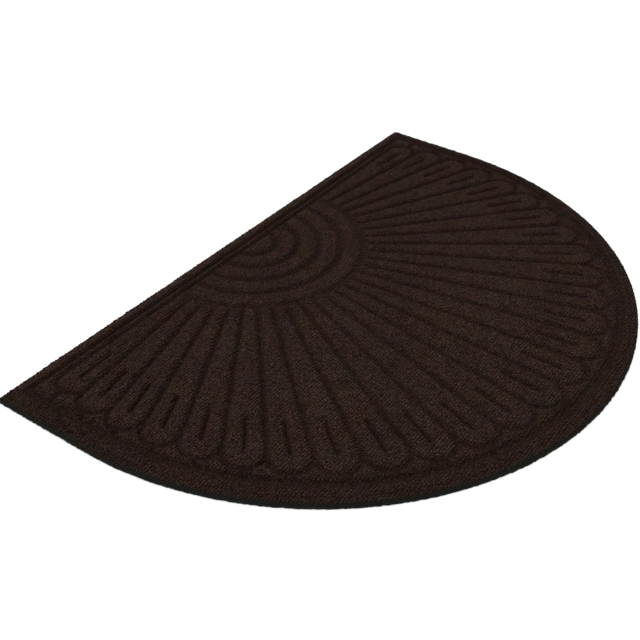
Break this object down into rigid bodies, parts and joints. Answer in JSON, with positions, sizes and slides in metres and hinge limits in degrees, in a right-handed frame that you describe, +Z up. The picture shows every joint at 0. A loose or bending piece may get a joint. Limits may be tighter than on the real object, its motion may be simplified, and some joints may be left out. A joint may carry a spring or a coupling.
{
  "type": "doormat",
  "caption": "Half-round entrance doormat: a brown pile face pressed into a fan relief, on a flat rubber backing.",
  "frame": {"origin": "middle of the outline's box, on the flat underside", "axes": "+X along the straight edge, +Y from the curved front to the straight edge, +Z up out of the pile"},
  "size_m": [0.914, 0.6, 0.0095],
  "materials": {
    "pile": "matt needled pile, dark brown heather",
    "rubber": "matt black"
  },
  "bodies": {
    "root": {"backing_rubber": "rubber", "face_pile": "pile"}
  },
  "joints": []
}
